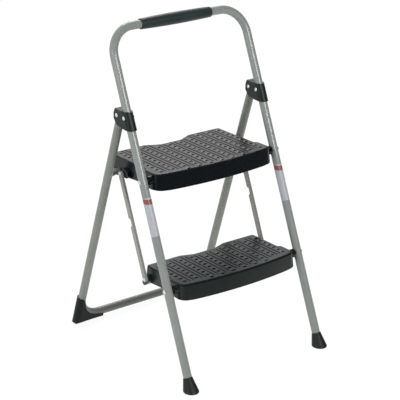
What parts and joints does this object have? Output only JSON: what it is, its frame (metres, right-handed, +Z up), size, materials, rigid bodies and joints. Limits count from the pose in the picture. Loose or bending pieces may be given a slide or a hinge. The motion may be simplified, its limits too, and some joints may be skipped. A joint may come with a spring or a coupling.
{
  "type": "step stool",
  "caption": "Folding step stool with a tubular front frame and hand rail, a hinged rear frame and moulded steps that fold up on side links.",
  "frame": {"origin": "centre of the object's bounding box at floor level", "axes": "+Z up, -Y towards the person who climbs it, +X to that person's right"},
  "size_m": [0.4706, 0.5461, 0.8732],
  "materials": {
    "powder_coat": "satin grey powder coat",
    "grip": "satin black foam-like plastic",
    "feet": "matt dark grey rubber",
    "bracket": "satin dark grey moulding",
    "rivets": "bright domed rivets",
    "spacers": "dark nylon",
    "sticker": "white film with a plain red band",
    "rod": "plain drawn rod",
    "step": "moulded dark grey plastic with a ribbed tread",
    "link": "satin grey powder coat"
  },
  "bodies": {
    "front": {"front_frame": "powder_coat", "hand_grip": "grip", "front_foot_left": "feet", "front_foot_right": "feet", "hinge_bracket_left": "bracket", "hinge_bracket_right": "bracket", "bracket_rivets": "rivets", "hinge_pins": "rivets", "top_pivot_pins": "rivets", "bottom_pivot_pins": "rivets", "top_pivot_washers": "spacers", "bottom_pivot_washers": "spacers", "leg_sticker_left": "sticker", "leg_sticker_right": "sticker"},
    "rear": {"rear_frame": "powder_coat", "rear_foot_left": "feet", "rear_foot_right": "feet", "support_rod": "rod"},
    "upper_step": {"top_step": "step", "top_link_rivets": "rivets", "top_link_spacers": "spacers"},
    "lower_step": {"bottom_step": "step", "bottom_link_rivets": "rivets", "bottom_link_spacers": "spacers"},
    "links": {"link_left": "link", "link_right": "link"}
  },
  "joints": [
    {"name": "top_step_fold", "type": "hinge", "parent": "front", "child": "upper_step", "pos_m": [0, -0.04936, 0.4992], "axis": [1, 0, 0], "range_deg": [0, 66]},
    {"name": "bottom_step_fold", "type": "hinge", "parent": "front", "child": "lower_step", "pos_m": [0, -0.15416, 0.2398], "axis": [1, 0, 0], "range_deg": [0, 66]},
    {"name": "link_swing", "type": "hinge", "parent": "upper_step", "child": "links", "pos_m": [0, 0.07254, 0.4838], "axis": [1, 0, 0], "range_deg": [-66, 0]},
    {"name": "rear_frame_fold", "type": "hinge", "parent": "front", "child": "rear", "pos_m": [0, 0.04297, 0.65219], "axis": [-1, 0, 0], "range_deg": [0, 37.5]}
  ],
  "couplings": [
    {"joint": "bottom_step_fold", "follows": "top_step_fold", "ratio": 1},
    {"joint": "link_swing", "follows": "top_step_fold", "ratio": -1},
    {"joint": "rear_frame_fold", "follows": "top_step_fold", "ratio": 0.568}
  ]
}
